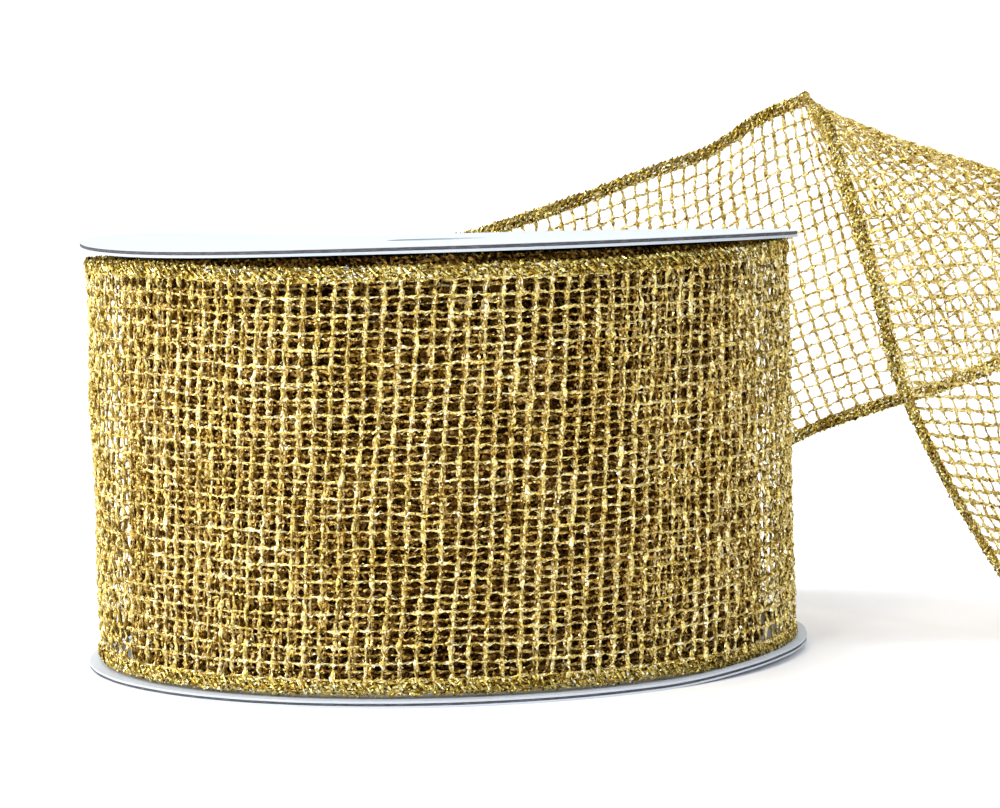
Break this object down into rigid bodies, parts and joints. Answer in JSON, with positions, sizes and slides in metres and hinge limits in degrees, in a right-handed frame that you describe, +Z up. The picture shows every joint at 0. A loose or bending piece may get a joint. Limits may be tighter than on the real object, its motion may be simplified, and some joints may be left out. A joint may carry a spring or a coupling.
{
  "type": "ribbon spool",
  "caption": "Card spool wound with wired metallic mesh ribbon, standing on one flange, its loose end rising from the back and looping over at the side.",
  "frame": {"origin": "on the spool's axis at the underside of the lower flange", "axes": "+Z up along the spool's axis, +X towards the loose end, +Y towards the side where the loose end leaves"},
  "size_m": [0.2115, 0.1354, 0.0897],
  "materials": {
    "grey_board": "matte grey chipboard, cut edge",
    "white_paper": "smooth coated white paper, slight gloss",
    "kraft_board": "matte wound kraft tube",
    "glue": "dried translucent glue",
    "tape": "clear adhesive film",
    "gold_mesh": "metallic gold tinsel yarn, open leno mesh",
    "gold_hem": "metallic gold overlock stitching, greenish glints",
    "edge_wire": "fine soft wire"
  },
  "bodies": {
    "spool": {"top_flange_board": "grey_board", "top_flange_facing": "white_paper", "top_flange_lining": "white_paper", "bottom_flange_board": "grey_board", "bottom_flange_facing": "white_paper", "bottom_flange_lining": "white_paper", "core_inner_ply": "kraft_board", "core_outer_ply": "kraft_board", "core_top_glue": "glue", "core_bottom_glue": "glue", "ribbon_start_tape": "tape", "roll_mesh": "gold_mesh", "roll_upper_hem": "gold_hem", "roll_lower_hem": "gold_hem"},
    "loose_turn": {"loose_turn_mesh": "gold_mesh", "loose_turn_upper_hem": "gold_hem", "loose_turn_lower_hem": "gold_hem", "loose_turn_upper_wire": "edge_wire", "loose_turn_lower_wire": "edge_wire"},
    "tail_loop": {"tail_loop_mesh": "gold_mesh", "tail_loop_upper_hem": "gold_hem", "tail_loop_lower_hem": "gold_hem", "tail_loop_upper_wire": "edge_wire", "tail_loop_lower_wire": "edge_wire"},
    "tail_end": {"tail_end_mesh": "gold_mesh", "tail_end_upper_hem": "gold_hem", "tail_end_lower_hem": "gold_hem", "tail_end_upper_wire": "edge_wire", "tail_end_lower_wire": "edge_wire"}
  },
  "joints": [
    {"name": "unwind", "type": "hinge", "parent": "spool", "child": "loose_turn", "pos_m": [0, 0, 0.03305], "axis": [0, 0, 1], "continuous": true},
    {"name": "tail_swing", "type": "hinge", "parent": "loose_turn", "child": "tail_loop", "pos_m": [-0.00574, 0.05649, 0.03305], "axis": [0, 0, 1], "range_deg": [0, 45]},
    {"name": "end_lift", "type": "hinge", "parent": "tail_loop", "child": "tail_end", "pos_m": [0.1035, 0.02, 0.0425], "axis": [-0.9532, -0.3019, -0.0159], "range_deg": [0, 60]}
  ]
}
